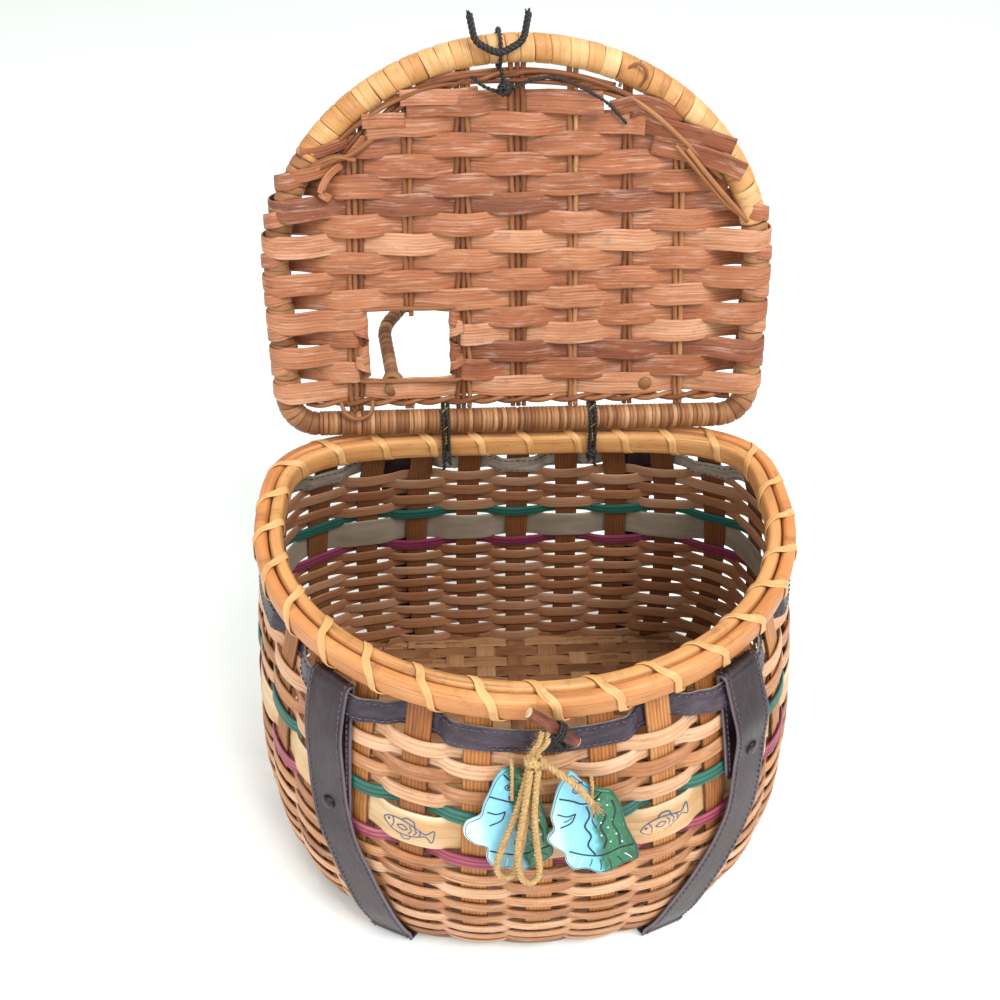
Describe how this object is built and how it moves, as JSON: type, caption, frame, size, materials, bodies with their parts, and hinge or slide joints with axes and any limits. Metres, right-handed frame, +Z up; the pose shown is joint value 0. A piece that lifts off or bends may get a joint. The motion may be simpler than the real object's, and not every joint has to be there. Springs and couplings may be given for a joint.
{
  "type": "wicker fishing creel",
  "caption": "Wicker fishing creel with a hinged woven lid and fish hole, leather straps, a cord-and-toggle latch, jute twine and hanging painted wooden fish.",
  "frame": {"origin": "centre of the base's underside, under the middle of the rim", "axes": "+Z up; +X to the right seen from the front; +Y from the front (toggle, straps, fish) to the back, where the lid is hinged"},
  "size_m": [0.3114, 0.3496, 0.4114],
  "materials": {
    "stake_reed": "matte",
    "wall_reed": "satin",
    "green_reed": "matte",
    "pale_band": "satin",
    "magenta_reed": "matte",
    "base_reed": "matte",
    "rim_outer": "satin",
    "rim_inner": "matte",
    "cane_binding": "matte",
    "band_leather": "satin",
    "strap_leather": "satin",
    "rivet_metal": "satin",
    "black_cord": "matte",
    "jute": "matte",
    "toggle_wood": "matte",
    "painted_fish": "matte",
    "lid_rod": "matte",
    "lid_cane": "satin",
    "lid_reed": "satin",
    "lid_round_reed": "matte",
    "handle_cane": "satin"
  },
  "bodies": {
    "basket": {"wall_stakes": "stake_reed", "upper_weave": "wall_reed", "green_row": "green_reed", "wide_band": "pale_band", "magenta_row": "magenta_reed", "lower_weave": "wall_reed", "base_weave": "base_reed", "rim_outer_hoop": "rim_outer", "rim_inner_hoop": "rim_inner", "rim_binding": "cane_binding", "leather_band": "band_leather", "strap_left": "strap_leather", "strap_right": "strap_leather", "strap_rivets": "rivet_metal", "charm_hangers": "jute", "twine_knot": "jute", "twine_loop_left": "jute", "twine_loop_right": "jute", "twine_tail": "jute", "hinge_ties": "black_cord", "hinge_tie_knots": "black_cord"},
    "lid": {"lid_border_rod": "lid_rod", "lid_border_wrap": "lid_cane", "lid_weave": "lid_reed", "lid_stakes": "lid_round_reed", "lid_twining": "lid_round_reed", "lid_handle": "handle_cane", "handle_lashing": "handle_cane", "latch_knot": "black_cord"},
    "latch": {"latch_loop": "black_cord"},
    "toggle": {"toggle_stick": "toggle_wood", "toggle_tie": "black_cord"},
    "charm_right": {"fish_charm_right": "painted_fish"},
    "charm_left": {"fish_charm_left": "painted_fish"}
  },
  "joints": [
    {"name": "lid_hinge", "type": "hinge", "parent": "basket", "child": "lid", "pos_m": [0, 0.098, 0.1989], "axis": [1, 0, 0], "range_deg": [0, 104.5]},
    {"name": "latch_swing", "type": "hinge", "parent": "lid", "child": "latch", "pos_m": [0, 0.14969, 0.3918], "axis": [1, 0, 0], "range_deg": [-80, 0]},
    {"name": "toggle_turn", "type": "hinge", "parent": "basket", "child": "toggle", "pos_m": [0.0105, -0.105, 0.1665], "axis": [0, 1, 0], "range_deg": [-25, 0]},
    {"name": "charm_right_sway", "type": "hinge", "parent": "basket", "child": "charm_right", "pos_m": [0.02274, -0.12323, 0.141], "axis": [0, -0.9781, 0.2079], "range_deg": [-6, 6]},
    {"name": "charm_left_sway", "type": "hinge", "parent": "basket", "child": "charm_left", "pos_m": [-0.01383, -0.11972, 0.141], "axis": [0, -0.9781, 0.2079], "range_deg": [-6, 6]}
  ],
  "couplings": [
    {"joint": "latch_swing", "follows": "lid_hinge", "ratio": -0.76555}
  ]
}
